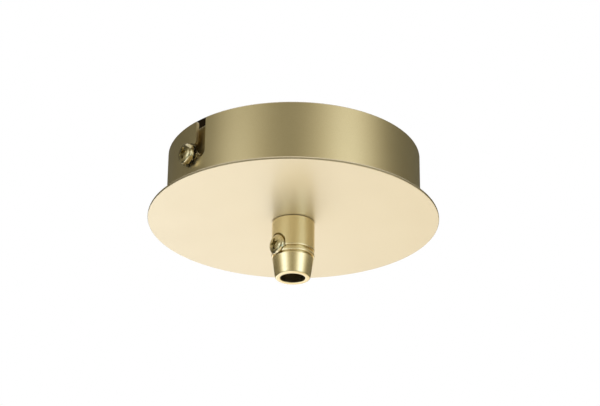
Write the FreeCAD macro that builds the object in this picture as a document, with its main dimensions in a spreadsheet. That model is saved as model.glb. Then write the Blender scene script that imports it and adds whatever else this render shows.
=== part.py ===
"""Round metal ceiling canopy for one pendant lamp, in millimetres.

The origin is the centre of the ceiling plane and +Z points up.
The bracket lies across X and the cover hangs below the ceiling.
"""
import FreeCAD, Part
import math
import os
import Sketcher
from FreeCAD import Placement, Rotation, Vector

doc = FreeCAD.newDocument("ceiling_canopy")
dim = doc.addObject("Spreadsheet::Sheet", "dim")

# Driving sizes, each with what it measures
SIZES = {
    # Cover: a round plate with a drum welded on its back
    "canopy_height": 24.0,
    "plate_radius": 50.0,
    "plate_thickness": 1.2,
    "plate_edge_bevel": 0.3,
    "drum_radius": 43.75,
    "drum_wall": 1.0,
    "rim_edge_bevel": 0.2,
    "tack_size": 1.6,
    "tack_angle": 7.0,
    "tack_count": 6,
    # L-shaped slots in the drum: a neck from the rim and a leg beside its foot
    "neck_width": 4.4,
    "neck_offset": 4.8,
    "leg_height": 5.8,
    "leg_end": 2.3,
    "leg_seat_gap": 0.2,
    "leg_round": 2.2,
    "tab_round": 1.2,
    "neck_mouth_round": 1.0,
    # Bracket: a folded strip with two ears
    "strip_thickness": 2.0,
    "strip_width": 18.0,
    "ear_gap": 0.38,
    "ear_depth": 17.5,
    "ear_round": 5.5,
    "bend_round": 3.0,
    "collar_radius": 3.3,
    "collar_height": 1.2,
    "ceiling_slot_spacing": 55.0,
    "ceiling_slot_length": 18.0,
    "ceiling_slot_width": 4.5,
    "wire_hole_radius": 5.25,
    "earth_screw_place": 12.5,
    # M4 screws with small rounded heads
    "thread_radius": 2.0,
    "thread_gap": 0.05,
    "head_radius": 3.5,
    "head_height": 2.4,
    "head_round": 1.25,
    "recess_length": 4.2,
    "recess_width": 1.0,
    "recess_depth": 1.3,
    "recess_taper": 9.0,
    "side_screw_depth": 12.0,
    "side_screw_length": 8.0,
    "earth_screw_length": 4.0,
    "grip_screw_length": 3.0,
    # Lock washers with twisted teeth
    "small_washer_root": 3.1,
    "small_washer_radius": 4.0,
    "small_washer_thickness": 0.5,
    "small_tooth_width": 1.3,
    "small_tooth_count": 10,
    "large_washer_root": 7.4,
    "large_washer_radius": 9.0,
    "large_washer_thickness": 0.7,
    "large_tooth_width": 1.9,
    "large_tooth_count": 14,
    "tooth_twist": 24.0,
    "washer_bore_gap": 0.15,
    "wall_gap": 0.1,
    "stack_gap": 0.03,
    # Cup washer under the earth screw
    "cup_radius": 5.0,
    "cup_thickness": 0.6,
    "cup_lip": 0.8,
    # Nipple M10 x 1 and its nut
    "nipple_radius": 5.0,
    "nipple_bore": 4.0,
    "nipple_length": 15.0,
    "nipple_chamfer": 0.5,
    "nipple_below_plate": 7.0,
    "nipple_gap": 0.05,
    "nut_across_flats": 14.0,
    "nut_height": 3.0,
    "nut_chamfer": 0.9,
    # Turned cord grip
    "sleeve_radius": 7.36,
    "sleeve_length": 11.0,
    "sleeve_chamfer": 0.4,
    "groove_depth": 0.45,
    "upper_groove_width": 0.75,
    "band_width": 1.15,
    "band_chamfer": 0.2,
    "lower_groove_width": 0.7,
    "cone_top_radius": 7.1,
    "cone_foot_radius": 5.95,
    "grip_length": 20.6,
    "mouth_round": 0.6,
    "mouth_inner_bevel": 0.4,
    "cable_bore": 4.2,
    "chamber_radius": 4.7,
    "thread_depth": 7.2,
    "chamber_length": 5.9,
    "grip_screw_depth": 9.9,
    "recess_floor": 5.9,
    "recess_radius": 3.8,
    "recess_rise": 0.3,
    # Clamp saddle behind the grip screw
    "saddle_thickness": 1.0,
    "saddle_gap": 0.1,
    "saddle_height": 5.2,
    "saddle_width": 6.4,
    "saddle_travel": 1.5,
    "dimple_radius": 2.2,
    "dimple_depth": 0.25,
}
for row, (word, number) in enumerate(SIZES.items(), start=1):
    dim.set(f"A{row}", word)
    dim.set(f"B{row}", str(number))
    dim.setAlias(f"B{row}", word)
doc.recompute()


def size(text):
    """Work out an expression in the sheet's words."""
    return float(dim.evalExpression(text))


# Heights and places that follow from the sizes, as expressions
PLATE_FACE = "-dim.canopy_height"
PLATE_BACK = "(dim.plate_thickness - dim.canopy_height)"
DRUM_INSIDE = "(dim.drum_radius - dim.drum_wall)"
SCREW_LEVEL = "-dim.side_screw_depth"
EAR_FACE = f"(sqrt({DRUM_INSIDE}^2 - (dim.strip_width / 2)^2) - dim.ear_gap)"
EAR_BACK = f"({EAR_FACE} - dim.strip_thickness)"
TAPPED = "(dim.thread_radius + dim.thread_gap)"
NIPPLE_HOLE = "(dim.nipple_radius + dim.nipple_gap)"
GRIP_FOOT = "(-dim.canopy_height - dim.grip_length)"
GRIP_SCREW_LEVEL = "(-dim.canopy_height - dim.grip_screw_depth)"


def tooth_rise(thickness, width):
    """Half the height of a washer's twisted teeth."""
    return f"(({thickness} * cos(dim.tooth_twist) + {width} * sin(dim.tooth_twist)) / 2)"


SMALL_RISE = tooth_rise("dim.small_washer_thickness", "dim.small_tooth_width")
LARGE_RISE = tooth_rise("dim.large_washer_thickness", "dim.large_tooth_width")
SIDE_WASHER = f"(dim.drum_radius + dim.wall_gap + {SMALL_RISE})"
SIDE_HEAD = f"({SIDE_WASHER} + {SMALL_RISE} + dim.stack_gap)"


def new_body(name):
    """Start a body whose Label is the piece's name."""
    made = doc.addObject("PartDesign::Body", name)
    made.Label = name
    return made


def origin_part(body, role):
    """Find one of the body's own origin planes or axes."""
    return next(item for item in body.Origin.OriginFeatures if item.Role == role)


def new_sketch(body, name, role, lift="0", turn=None):
    """Attach a sketch to an origin plane, lifted along its normal or turned about an axis."""
    sketch = body.newObject("Sketcher::SketchObject", name)
    sketch.AttachmentSupport = [(origin_part(body, role), "")]
    sketch.MapMode = "FlatFace"
    if turn is not None:
        axis, angle = turn
        sketch.AttachmentOffset = Placement(Vector(), Rotation(axis, size(angle)))
    if lift != "0":
        sketch.setExpression("AttachmentOffset.Base.z", lift)
    return sketch


def pin(sketch, edge, end, x, y):
    """Hold a point of the sketch at the expressions x and y."""
    for kind, text, axis in (("DistanceX", x, -2), ("DistanceY", y, -1)):
        if text is None:
            continue
        if text == "0":
            sketch.addConstraint(Sketcher.Constraint("PointOnObject", edge, end, axis))
        else:
            held = sketch.addConstraint(Sketcher.Constraint(kind, -1, 1, edge, end, size(text)))
            sketch.setExpression(f"Constraints[{held}]", text)


def outline(sketch, corners):
    """Draw a closed outline through corners (x, y) or (x, y, radius) of square turns."""
    count = len(corners)
    spots = [Vector(size(corner[0]), size(corner[1]), 0) for corner in corners]
    rounds = [corner[2] if len(corner) > 2 else None for corner in corners]
    starts, ends = list(spots), list(spots)
    for i in range(count):
        if rounds[i]:
            coming = (spots[i] - spots[i - 1]).normalize()
            going = (spots[(i + 1) % count] - spots[i]).normalize()
            ends[i] = spots[i] - coming * size(rounds[i])
            starts[i] = spots[i] + going * size(rounds[i])
    lines = []
    for i in range(count):
        lines.append(sketch.addGeometry(Part.LineSegment(starts[i], ends[(i + 1) % count])))
    for i in range(count):
        before, after = lines[i - 1], lines[i]
        if not rounds[i]:
            sketch.addConstraint(Sketcher.Constraint("Coincident", before, 2, after, 1))
            pin(sketch, after, 1, corners[i][0], corners[i][1])
            continue
        radius = size(rounds[i])
        centre = ends[i] + starts[i] - spots[i]
        left_turn = (spots[i] - spots[i - 1]).cross(starts[i] - spots[i]).z > 0
        first, last = (ends[i], starts[i]) if left_turn else (starts[i], ends[i])
        angles = [math.atan2(spot.y - centre.y, spot.x - centre.x) for spot in (first, last)]
        circle = Part.Circle(centre, Vector(0, 0, 1), radius)
        arc = sketch.addGeometry(Part.ArcOfCircle(circle, *angles))
        near, far = (1, 2) if left_turn else (2, 1)
        sketch.addConstraint(Sketcher.Constraint("Tangent", before, 2, arc, near))
        sketch.addConstraint(Sketcher.Constraint("Tangent", arc, far, after, 1))
        held = sketch.addConstraint(Sketcher.Constraint("Radius", arc, radius))
        sketch.setExpression(f"Constraints[{held}]", rounds[i])
    for i in range(count):
        after = (i + 1) % count
        if not (rounds[i] or rounds[after]):
            continue
        upright = corners[i][0] == corners[after][0]
        sketch.addConstraint(Sketcher.Constraint("Vertical" if upright else "Horizontal", lines[i]))
        if rounds[i] and rounds[after]:
            place = (corners[i][0], None) if upright else (None, corners[i][1])
            pin(sketch, lines[i], 1, *place)
    return sketch


def ring_outline(sketch, x, y, radius):
    """Draw one circle."""
    circle = Part.Circle(Vector(size(x), size(y), 0), Vector(0, 0, 1), size(radius))
    edge = sketch.addGeometry(circle)
    pin(sketch, edge, 3, x, y)
    held = sketch.addConstraint(Sketcher.Constraint("Radius", edge, size(radius)))
    sketch.setExpression(f"Constraints[{held}]", radius)
    return sketch


def round_ended(sketch, near, far, radius):
    """Draw a slot outline around the line between two centres, level or upright."""
    spots = [Vector(size(x), size(y), 0) for x, y in (near, far)]
    along = (spots[1] - spots[0]).normalize()
    across = Vector(-along.y, along.x, 0) * size(radius)
    lean = math.atan2(along.y, along.x)
    quarter = math.pi / 2
    arcs = []
    for spot, turn in zip(spots, (quarter, -quarter)):
        circle = Part.Circle(spot, Vector(0, 0, 1), size(radius))
        arcs.append(sketch.addGeometry(Part.ArcOfCircle(circle, lean + turn, lean + turn + math.pi)))
    below = sketch.addGeometry(Part.LineSegment(spots[0] - across, spots[1] - across))
    above = sketch.addGeometry(Part.LineSegment(spots[1] + across, spots[0] + across))
    for first, first_end, second, second_end in (
            (arcs[0], 2, below, 1), (below, 2, arcs[1], 1), (arcs[1], 2, above, 1), (above, 2, arcs[0], 1)):
        sketch.addConstraint(Sketcher.Constraint("Tangent", first, first_end, second, second_end))
    for arc, (x, y) in zip(arcs, (near, far)):
        pin(sketch, arc, 3, x, y)
    held = sketch.addConstraint(Sketcher.Constraint("Radius", arcs[0], size(radius)))
    sketch.setExpression(f"Constraints[{held}]", radius)
    return sketch


def solid(body, kind, name, profile, **settings):
    """Add a feature driven by a sketch; text settings are expressions on the sheet."""
    doc.recompute()
    made = body.newObject(f"PartDesign::{kind}", name)
    made.Profile = profile
    for word, setting in settings.items():
        if word in ("Length", "Angle"):
            made.setExpression(word, setting)
        else:
            setattr(made, word, setting)
    doc.recompute()
    return made


def turned(body, name, profile, kind="Revolution", **settings):
    """Revolve a sketch of the XZ plane about the Z axis."""
    return solid(body, kind, name, profile, ReferenceAxis=(profile, ["V_Axis"]), **settings)


def around(body, name, originals, count):
    """Repeat features evenly about the Z axis."""
    made = body.newObject("PartDesign::PolarPattern", name)
    made.Originals = originals
    made.Axis = (origin_part(body, "Z_Axis"), [""])
    made.Angle = 360
    made.setExpression("Occurrences", count)
    body.Tip = made
    doc.recompute()
    return made


def dressed(body, kind, name, base, choose, amount):
    """Round or chamfer the edges of the base feature that choose() accepts."""
    names = [f"Edge{i}" for i, edge in enumerate(base.Shape.Edges, start=1) if choose(edge)]
    if not names:
        raise RuntimeError(f"{name} finds no edge")
    made = body.newObject(f"PartDesign::{kind}", name)
    made.Base = (base, names)
    made.setExpression("Radius" if kind == "Fillet" else "Size", amount)
    doc.recompute()
    return made


def circle_at(height, radius=None):
    """Accept full circles about Z at a height, and of a radius if it is given."""
    def choose(edge):
        curve = edge.Curve
        if not isinstance(curve, Part.Circle) or abs(curve.Axis.z) < 0.999:
            return False
        same_height = abs(curve.Center.z - size(height)) < 1e-4
        return same_height and (radius is None or abs(curve.Radius - size(radius)) < 1e-4)
    return choose


def place(body, x="0", z="0", turn=None):
    """Put a piece at x and z, turned about Y; the angle is in degrees."""
    if turn:
        body.Placement = Placement(Vector(), Rotation(Vector(0, 1, 0), turn))
    if x != "0":
        body.setExpression("Placement.Base.x", x)
    if z != "0":
        body.setExpression("Placement.Base.z", z)


# Face plate: a laser-cut steel disc with broken edges and the nipple's hole
plate = new_body("face_plate")
plate_section = outline(new_sketch(plate, "plate_section", "XZ_Plane"), [
    (NIPPLE_HOLE, PLATE_FACE),
    ("dim.plate_radius", PLATE_FACE),
    ("dim.plate_radius", PLATE_BACK),
    (NIPPLE_HOLE, PLATE_BACK),
])
plate_disc = turned(plate, "plate_disc", plate_section)
dressed(plate, "Chamfer", "plate_edges", plate_disc,
        lambda edge: circle_at(PLATE_FACE, "dim.plate_radius")(edge)
        or circle_at(PLATE_BACK, "dim.plate_radius")(edge), "dim.plate_edge_bevel")

# Side ring: a rolled strip, tack welded to the plate from inside, with two L-slots
ring = new_body("side_ring")
ring_section = outline(new_sketch(ring, "ring_section", "XZ_Plane"), [
    (DRUM_INSIDE, PLATE_BACK),
    ("dim.drum_radius", PLATE_BACK),
    ("dim.drum_radius", "0"),
    (DRUM_INSIDE, "0"),
])
ring_wall = turned(ring, "ring_wall", ring_section)
dressed(ring, "Chamfer", "rim_edges", ring_wall, circle_at("0"), "dim.rim_edge_bevel")

NECK_NEAR = "(-dim.neck_offset + dim.neck_width / 2)"
NECK_FAR = "(-dim.neck_offset - dim.neck_width / 2)"
LEG_FOOT = f"({SCREW_LEVEL} - dim.thread_radius - dim.leg_seat_gap)"
LEG_TOP = f"({LEG_FOOT} + dim.leg_height)"
ABOVE_RIM = "dim.drum_wall"
MOUTH_FAR = f"({NECK_FAR} - 2 * dim.neck_mouth_round)"
MOUTH_NEAR = f"({NECK_NEAR} + 2 * dim.neck_mouth_round)"
slot_shape = outline(new_sketch(ring, "slot_shape", "YZ_Plane"), [
    (MOUTH_FAR, ABOVE_RIM),
    (MOUTH_FAR, "0"),
    (NECK_FAR, "0", "dim.neck_mouth_round"),
    (NECK_FAR, LEG_FOOT, "dim.leg_round"),
    ("dim.leg_end", LEG_FOOT, "dim.leg_round"),
    ("dim.leg_end", LEG_TOP, "dim.leg_round"),
    (NECK_NEAR, LEG_TOP, "dim.tab_round"),
    (NECK_NEAR, "0", "dim.neck_mouth_round"),
    (MOUTH_NEAR, "0"),
    (MOUTH_NEAR, ABOVE_RIM),
])
slot_cut = solid(ring, "Pocket", "slot_cut", slot_shape, Length="dim.drum_radius * 1.1")
around(ring, "slot_pair", [slot_cut], "2")

tack_section = outline(
    new_sketch(ring, "tack_section", "XZ_Plane", turn=(Vector(0, 1, 0), "180 / dim.tack_count")), [
        (f"{DRUM_INSIDE} - dim.tack_size", PLATE_BACK),
        (f"{DRUM_INSIDE} + dim.drum_wall / 2", PLATE_BACK),
        (f"{DRUM_INSIDE} + dim.drum_wall / 2", f"{PLATE_BACK} + dim.tack_size"),
        (DRUM_INSIDE, f"{PLATE_BACK} + dim.tack_size"),
    ])
tack = turned(ring, "tack", tack_section, Angle="dim.tack_angle", Midplane=True)
around(ring, "tacks", [tack], "dim.tack_count")

# Mounting bracket: a zinc-plated strip folded at both ends, screwed to the ceiling
bracket = new_body("mounting_bracket")
INNER_BEND = "(dim.bend_round - dim.strip_thickness)"
strip_profile = outline(new_sketch(bracket, "strip_profile", "XZ_Plane"), [
    (EAR_FACE, "-dim.ear_depth"),
    (EAR_FACE, "0", "dim.bend_round"),
    (f"-{EAR_FACE}", "0", "dim.bend_round"),
    (f"-{EAR_FACE}", "-dim.ear_depth"),
    (f"-{EAR_BACK}", "-dim.ear_depth"),
    (f"-{EAR_BACK}", "-dim.strip_thickness", INNER_BEND),
    (EAR_BACK, "-dim.strip_thickness", INNER_BEND),
    (EAR_BACK, "-dim.ear_depth"),
])
strip = solid(bracket, "Pad", "strip", strip_profile, SideType="Symmetric", Length="dim.strip_width")


def ear_corner(edge):
    """Accept the short edges across an ear's foot corners."""
    middle = edge.BoundBox.Center
    at_foot = abs(middle.z + size("dim.ear_depth")) < 1e-4
    at_side = abs(abs(middle.y) - size("dim.strip_width / 2")) < 1e-4
    return at_foot and at_side and edge.BoundBox.YLength < 1e-4 and edge.BoundBox.ZLength < 1e-4


ear_rounds = dressed(bracket, "Fillet", "ear_rounds", strip, ear_corner, "dim.ear_round")
SLOT_REACH = "((dim.ceiling_slot_length - dim.ceiling_slot_width) / 2)"
ceiling_slot = round_ended(
    new_sketch(bracket, "ceiling_slot", "XY_Plane"),
    (f"dim.ceiling_slot_spacing / 2 - {SLOT_REACH}", "0"),
    (f"dim.ceiling_slot_spacing / 2 + {SLOT_REACH}", "0"), "dim.ceiling_slot_width / 2")
ceiling_cut = solid(bracket, "Pocket", "ceiling_cut", ceiling_slot, Length="dim.strip_thickness * 2")
around(bracket, "ceiling_slots", [ceiling_cut], "2")
wire_hole = ring_outline(new_sketch(bracket, "wire_hole", "XY_Plane"), "0", "0", "dim.wire_hole_radius")
solid(bracket, "Pocket", "wire_hole_cut", wire_hole, Length="dim.strip_thickness * 2")

ear_collar = ring_outline(
    new_sketch(bracket, "ear_collar", "YZ_Plane", lift=f"-{EAR_BACK} - dim.strip_thickness / 2"),
    "0", SCREW_LEVEL, "dim.collar_radius")
collar_pad = solid(bracket, "Pad", "collar_pad", ear_collar,
                   Length="dim.collar_height + dim.strip_thickness / 2")
ear_thread = ring_outline(
    new_sketch(bracket, "ear_thread", "YZ_Plane", lift=f"-{EAR_BACK} + dim.collar_height * 2"),
    "0", SCREW_LEVEL, TAPPED)
thread_cut = solid(bracket, "Pocket", "thread_cut", ear_thread,
                   Length="dim.collar_height * 2 + dim.strip_thickness * 2")
around(bracket, "ear_threads", [collar_pad, thread_cut], "2")

earth_collar = ring_outline(
    new_sketch(bracket, "earth_collar", "XY_Plane", lift="-dim.strip_thickness / 2"),
    "dim.earth_screw_place", "0", "dim.collar_radius")
solid(bracket, "Pad", "earth_collar_pad", earth_collar, Reversed=True,
      Length="dim.collar_height + dim.strip_thickness / 2")
earth_thread = ring_outline(
    new_sketch(bracket, "earth_thread", "XY_Plane"), "dim.earth_screw_place", "0", TAPPED)
solid(bracket, "Pocket", "earth_thread_cut", earth_thread,
      Length="(dim.strip_thickness + dim.collar_height) * 2")


def round_head_screw(name, length):
    """Turn an M4 screw with a small rounded head and a cross recess, its head's underside at the origin."""
    screw = new_body(name)
    tip = "dim.thread_radius * 0.3"
    section = outline(new_sketch(screw, f"{name}_section", "XZ_Plane"), [
        ("0", f"-{length}"),
        (f"dim.thread_radius - {tip}", f"-{length}"),
        ("dim.thread_radius", f"{tip} - {length}"),
        ("dim.thread_radius", "0"),
        ("dim.head_radius", "0"),
        ("dim.head_radius", "dim.head_height"),
        ("0", "dim.head_height"),
    ])
    blank = turned(screw, f"{name}_blank", section)
    dressed(screw, "Fillet", f"{name}_crown", blank,
            circle_at("dim.head_height", "dim.head_radius"), "dim.head_round")
    half_long, half_wide = "dim.recess_length / 2", "dim.recess_width / 2"
    cross = new_sketch(screw, f"{name}_cross", "XY_Plane", lift="dim.head_height")
    outline(cross, [
        (half_long, f"-{half_wide}"), (half_long, half_wide), (half_wide, half_wide),
        (half_wide, half_long), (f"-{half_wide}", half_long), (f"-{half_wide}", half_wide),
        (f"-{half_long}", half_wide), (f"-{half_long}", f"-{half_wide}"),
        (f"-{half_wide}", f"-{half_wide}"), (f"-{half_wide}", f"-{half_long}"),
        (half_wide, f"-{half_long}"), (half_wide, f"-{half_wide}"),
    ])
    recess = solid(screw, "Pocket", f"{name}_recess", cross, Length="dim.recess_depth")
    recess.setExpression("TaperAngle", "-dim.recess_taper")
    doc.recompute()
    return screw


def toothed_washer(name, bore, root, radius, thickness, tooth_width, tooth_count):
    """Stamp a flat ring and twist its outer teeth about their own middles."""
    washer = new_body(name)
    half = f"{thickness} / 2"
    section = outline(new_sketch(washer, f"{name}_section", "XZ_Plane"), [
        (bore, f"-{half}"), (root, f"-{half}"), (root, half), (bore, half)])
    turned(washer, f"{name}_ring", section)
    blade = new_sketch(washer, f"{name}_blade", "YZ_Plane", lift=f"{root} - {thickness}",
                       turn=(Vector(0, 0, 1), "dim.tooth_twist"))
    outline(blade, [
        (f"-{tooth_width} / 2", f"-{half}"), (f"{tooth_width} / 2", f"-{half}"),
        (f"{tooth_width} / 2", half), (f"-{tooth_width} / 2", half)])
    tooth = solid(washer, "Pad", f"{name}_tooth", blade, Length=f"{radius} - {root} + {thickness}")
    around(washer, f"{name}_teeth", [tooth], tooth_count)
    return washer


def small_lock_washer(name):
    """Make the M4 size that goes under a screw head."""
    return toothed_washer(
        name, "dim.thread_radius + dim.washer_bore_gap", "dim.small_washer_root",
        "dim.small_washer_radius", "dim.small_washer_thickness", "dim.small_tooth_width",
        "dim.small_tooth_count")


# Side screws and their captive lock washers: they clamp the drum to the bracket's ears
for side, sign, turn in (("left", "-", -90), ("right", "", 90)):
    side_screw = round_head_screw(f"side_screw_{side}", "dim.side_screw_length")
    place(side_screw, x=f"{sign}{SIDE_HEAD}", z=SCREW_LEVEL, turn=turn)
    side_washer = small_lock_washer(f"side_lock_washer_{side}")
    place(side_washer, x=f"{sign}{SIDE_WASHER}", z=SCREW_LEVEL, turn=turn)

# Earth terminal: a screw with a cup washer and a lock washer under the bracket's web
EARTH_WASHER = f"(-dim.strip_thickness - dim.collar_height - dim.stack_gap - {SMALL_RISE})"
CUP_TOP = f"({EARTH_WASHER} - {SMALL_RISE} - dim.stack_gap)"
EARTH_HEAD = f"({CUP_TOP} - dim.cup_thickness - dim.stack_gap)"
earth_washer = small_lock_washer("earth_lock_washer")
place(earth_washer, x="dim.earth_screw_place", z=EARTH_WASHER)

cup = new_body("earth_cup_washer")
CUP_BORE = "dim.thread_radius + dim.washer_bore_gap"
cup_section = outline(new_sketch(cup, "cup_section", "XZ_Plane"), [
    (CUP_BORE, "-dim.cup_thickness"),
    (CUP_BORE, "0"),
    ("dim.cup_radius - dim.cup_thickness", "0"),
    ("dim.cup_radius - dim.cup_thickness", "dim.cup_lip"),
    ("dim.cup_radius", "dim.cup_lip"),
    ("dim.cup_radius", "-dim.cup_thickness"),
])
turned(cup, "cup_turn", cup_section)
place(cup, x="dim.earth_screw_place", z=CUP_TOP)
earth_screw = round_head_screw("earth_screw", "dim.earth_screw_length")
place(earth_screw, x="dim.earth_screw_place", z=EARTH_HEAD, turn=180)

# Threaded nipple, lock washer and nut: they clamp the plate to the cord grip
NIPPLE_FOOT = "(-dim.canopy_height - dim.nipple_below_plate)"
nipple = new_body("threaded_nipple")
nipple_section = outline(new_sketch(nipple, "nipple_section", "XZ_Plane"), [
    ("dim.nipple_bore", NIPPLE_FOOT),
    ("dim.nipple_radius - dim.nipple_chamfer", NIPPLE_FOOT),
    ("dim.nipple_radius", f"{NIPPLE_FOOT} + dim.nipple_chamfer"),
    ("dim.nipple_radius", f"{NIPPLE_FOOT} + dim.nipple_length - dim.nipple_chamfer"),
    ("dim.nipple_radius - dim.nipple_chamfer", f"{NIPPLE_FOOT} + dim.nipple_length"),
    ("dim.nipple_bore", f"{NIPPLE_FOOT} + dim.nipple_length"),
])
turned(nipple, "nipple_turn", nipple_section)

NIPPLE_WASHER = f"({PLATE_BACK} + dim.stack_gap + {LARGE_RISE})"
NUT_SEAT = f"({NIPPLE_WASHER} + {LARGE_RISE} + dim.stack_gap)"
nipple_washer = toothed_washer(
    "nipple_lock_washer", "dim.nipple_radius + dim.washer_bore_gap", "dim.large_washer_root",
    "dim.large_washer_radius", "dim.large_washer_thickness", "dim.large_tooth_width",
    "dim.large_tooth_count")
place(nipple_washer, z=NIPPLE_WASHER)

nut = new_body("nipple_nut")
CORNER = "(dim.nut_across_flats / 2 / cos(30))"
HALF_FLAT = "(dim.nut_across_flats / 2)"
hexagon = outline(new_sketch(nut, "hexagon", "XY_Plane"), [
    (CORNER, "0"), (f"{CORNER} / 2", HALF_FLAT), (f"-{CORNER} / 2", HALF_FLAT),
    (f"-{CORNER}", "0"), (f"-{CORNER} / 2", f"-{HALF_FLAT}"), (f"{CORNER} / 2", f"-{HALF_FLAT}")])
solid(nut, "Pad", "nut_blank", hexagon, Length="dim.nut_height")
nut_thread = ring_outline(new_sketch(nut, "nut_thread", "XY_Plane"), "0", "0", NIPPLE_HOLE)
solid(nut, "Pocket", "nut_thread_cut", nut_thread, Reversed=True, Length="dim.nut_height")
nut_corner = outline(new_sketch(nut, "nut_corner", "XZ_Plane"), [
    (f"{HALF_FLAT} - dim.nut_chamfer / 4", "dim.nut_height"),
    (f"{CORNER} + dim.nut_chamfer", "dim.nut_height - dim.nut_chamfer"),
    (f"{CORNER} + dim.nut_chamfer", "dim.nut_height"),
])
turned(nut, "nut_crown", nut_corner, kind="Groove")
place(nut, z=NUT_SEAT)

# Cord grip: turned from one bar, threaded on the nipple, bored for the cable
grip = new_body("grip_body")
SLEEVE_END = "(-dim.canopy_height - dim.sleeve_length)"
BAND_TOP = f"({SLEEVE_END} - dim.upper_groove_width)"
BAND_END = f"({BAND_TOP} - dim.band_width)"
CONE_TOP = f"({BAND_END} - dim.lower_groove_width)"
THREAD_END = "(-dim.canopy_height - dim.thread_depth)"
CHAMBER_END = f"({THREAD_END} - dim.chamber_length)"
GROOVE_RADIUS = "(dim.sleeve_radius - dim.groove_depth)"
grip_section = outline(new_sketch(grip, "grip_section", "XZ_Plane"), [
    ("dim.cable_bore", GRIP_FOOT),
    ("dim.cone_foot_radius", GRIP_FOOT),
    ("dim.cone_top_radius", CONE_TOP),
    (GROOVE_RADIUS, CONE_TOP),
    (GROOVE_RADIUS, BAND_END),
    ("dim.sleeve_radius - dim.band_chamfer", BAND_END),
    ("dim.sleeve_radius", f"{BAND_END} + dim.band_chamfer"),
    ("dim.sleeve_radius", f"{BAND_TOP} - dim.band_chamfer"),
    ("dim.sleeve_radius - dim.band_chamfer", BAND_TOP),
    (GROOVE_RADIUS, BAND_TOP),
    (GROOVE_RADIUS, SLEEVE_END),
    ("dim.sleeve_radius - dim.sleeve_chamfer", SLEEVE_END),
    ("dim.sleeve_radius", f"{SLEEVE_END} + dim.sleeve_chamfer"),
    ("dim.sleeve_radius", PLATE_FACE),
    (NIPPLE_HOLE, PLATE_FACE),
    (NIPPLE_HOLE, THREAD_END),
    ("dim.chamber_radius", THREAD_END),
    ("dim.chamber_radius", CHAMBER_END),
    ("dim.cable_bore", CHAMBER_END),
])
grip_blank = turned(grip, "grip_blank", grip_section)
mouth_lip = dressed(grip, "Fillet", "mouth_lip", grip_blank,
                    circle_at(GRIP_FOOT, "dim.cone_foot_radius"), "dim.mouth_round")
dressed(grip, "Chamfer", "mouth_edge", mouth_lip,
        circle_at(GRIP_FOOT, "dim.cable_bore"), "dim.mouth_inner_bevel")
head_recess = round_ended(
    new_sketch(grip, "head_recess", "YZ_Plane", lift="-dim.recess_floor"),
    ("0", GRIP_SCREW_LEVEL), ("0", f"{GRIP_SCREW_LEVEL} + dim.recess_rise"), "dim.recess_radius")
solid(grip, "Pocket", "head_recess_cut", head_recess, Length="dim.sleeve_radius")
grip_thread = ring_outline(new_sketch(grip, "grip_thread", "YZ_Plane"), "0", GRIP_SCREW_LEVEL, TAPPED)
solid(grip, "Pocket", "grip_thread_cut", grip_thread, Length="dim.sleeve_radius")

# Grip screw: it drives the saddle against the cable
grip_screw = round_head_screw("grip_screw", "dim.grip_screw_length")
place(grip_screw, x="-(dim.recess_floor + dim.stack_gap)", z=GRIP_SCREW_LEVEL, turn=-90)

# Clamp saddle: a moulded curved pad between the screw's tip and the cable
SADDLE_OUTSIDE = "(dim.chamber_radius - dim.saddle_gap)"
saddle_outer = doc.addObject("Part::Cylinder", "saddle_outer")
saddle_outer.setExpression("Radius", SADDLE_OUTSIDE)
saddle_inner = doc.addObject("Part::Cylinder", "saddle_inner")
saddle_inner.setExpression("Radius", f"{SADDLE_OUTSIDE} - dim.saddle_thickness")
for cylinder in (saddle_outer, saddle_inner):
    cylinder.setExpression("Height", "dim.saddle_height")
saddle_tube = doc.addObject("Part::Cut", "saddle_tube")
saddle_tube.Base, saddle_tube.Tool = saddle_outer, saddle_inner
saddle_window = doc.addObject("Part::Box", "saddle_window")
saddle_window.setExpression("Length", "dim.chamber_radius")
saddle_window.setExpression("Width", "dim.saddle_width")
saddle_window.setExpression("Height", "dim.saddle_height")
saddle_window.setExpression("Placement.Base.x", "-dim.chamber_radius")
saddle_window.setExpression("Placement.Base.y", "-dim.saddle_width / 2")
saddle_blank = doc.addObject("Part::Common", "saddle_blank")
saddle_blank.Base, saddle_blank.Tool = saddle_tube, saddle_window
dimple = doc.addObject("Part::Cylinder", "dimple")
dimple.setExpression("Radius", "dim.dimple_radius")
dimple.setExpression("Height", "dim.chamber_radius")
dimple.Placement = Placement(Vector(), Rotation(Vector(0, 1, 0), -90))
dimple.setExpression("Placement.Base.x", f"dim.dimple_depth - {SADDLE_OUTSIDE}")
dimple.setExpression("Placement.Base.z", "dim.saddle_height / 2")
saddle = doc.addObject("Part::Cut", "clamp_saddle")
saddle.Base, saddle.Tool = saddle_blank, dimple
saddle.Label = "clamp_saddle"
saddle.setExpression("Placement.Base.x", "dim.saddle_travel")
saddle.setExpression("Placement.Base.z", f"{GRIP_SCREW_LEVEL} - dim.saddle_height / 2")

doc.recompute()

PIECES = [item for item in doc.Objects if item.isDerivedFrom("PartDesign::Body")] + [saddle]

for item in doc.Objects:
    if "Invalid" in item.State or "Error" in item.State:
        raise RuntimeError(f"{item.Label} failed: {item.State}")
for piece in PIECES:
    if piece.Shape.isNull() or not piece.Shape.isValid() or len(piece.Shape.Solids) != 1:
        raise RuntimeError(f"{piece.Label} is not one valid solid")

os.makedirs("parts", exist_ok=True)
for piece in PIECES:
    piece.Shape.exportStep(f"parts/{piece.Label}.step")
    box = piece.Shape.BoundBox
    print(f"{piece.Label:24s} {piece.Shape.Volume:10.2f} mm3  z {box.ZMin:7.2f} to {box.ZMax:7.2f}")
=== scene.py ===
import math

import bmesh
import bpy
from mathutils import Matrix, Vector


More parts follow.
